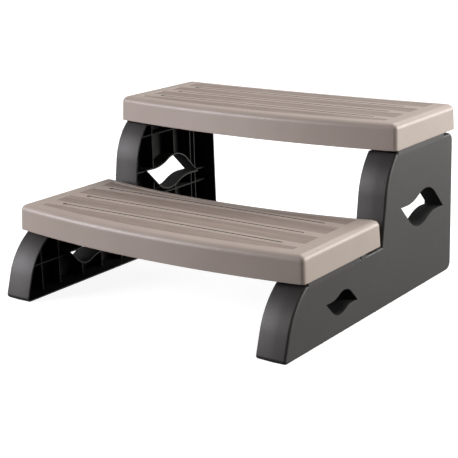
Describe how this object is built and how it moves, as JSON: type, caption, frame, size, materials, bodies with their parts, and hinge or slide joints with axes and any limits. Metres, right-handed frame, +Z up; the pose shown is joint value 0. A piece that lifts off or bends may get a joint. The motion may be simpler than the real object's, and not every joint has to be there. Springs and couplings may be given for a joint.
{
  "type": "spa steps",
  "caption": "Free-standing spa steps with bowed, grained treads screwed onto ribbed side panels that have wave-shaped openings.",
  "frame": {"origin": "on the ground, in the middle of the width and of the depth", "axes": "+X along the treads to the right of someone facing the steps, +Y from the front to the back, +Z up"},
  "size_m": [0.711, 0.664, 0.368],
  "materials": {
    "tread": "fine moulded texture, wood grain on the planks",
    "panel": "fine moulded texture",
    "screw": "satin"
  },
  "bodies": {
    "root": {"lower_tread": "tread", "upper_tread": "tread", "left_side_panel": "panel", "right_side_panel": "panel", "lower_tread_screws": "screw", "upper_tread_screws": "screw"}
  },
  "joints": []
}
